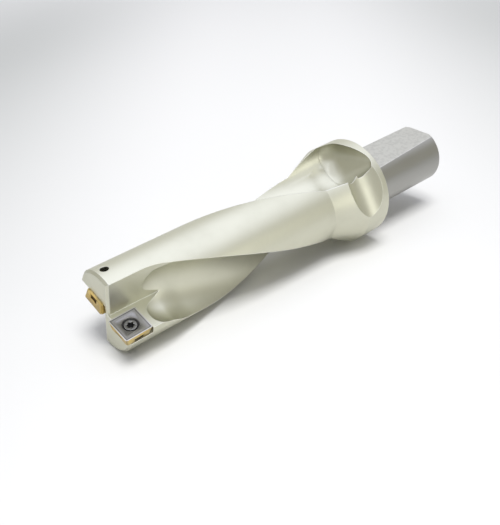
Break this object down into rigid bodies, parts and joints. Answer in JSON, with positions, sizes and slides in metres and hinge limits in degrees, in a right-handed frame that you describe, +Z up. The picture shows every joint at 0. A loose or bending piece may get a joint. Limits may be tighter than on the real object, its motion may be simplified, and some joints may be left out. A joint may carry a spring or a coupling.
{
  "type": "indexable drill",
  "caption": "Large drill with a helically fluted steel body, replaceable square inserts held by screws at its tip, and a flanged shank with a sloping clamping flat.",
  "frame": {"origin": "middle of the bounding box, on the surface that the drill lies on", "axes": "+X runs from the tip to the shank end, +Z is up; the drill's axis slopes 2.7 degrees down towards the tip"},
  "size_m": [0.2616, 0.065, 0.0653],
  "materials": {
    "nickel_plate": "satin nickel plate",
    "insert_coating": "coated carbide",
    "blackened_steel": "black oxide"
  },
  "bodies": {
    "root": {"drill_body": "nickel_plate", "outer_insert": "insert_coating", "centre_insert": "insert_coating", "outer_insert_screw": "blackened_steel", "centre_insert_screw": "blackened_steel"}
  },
  "joints": []
}
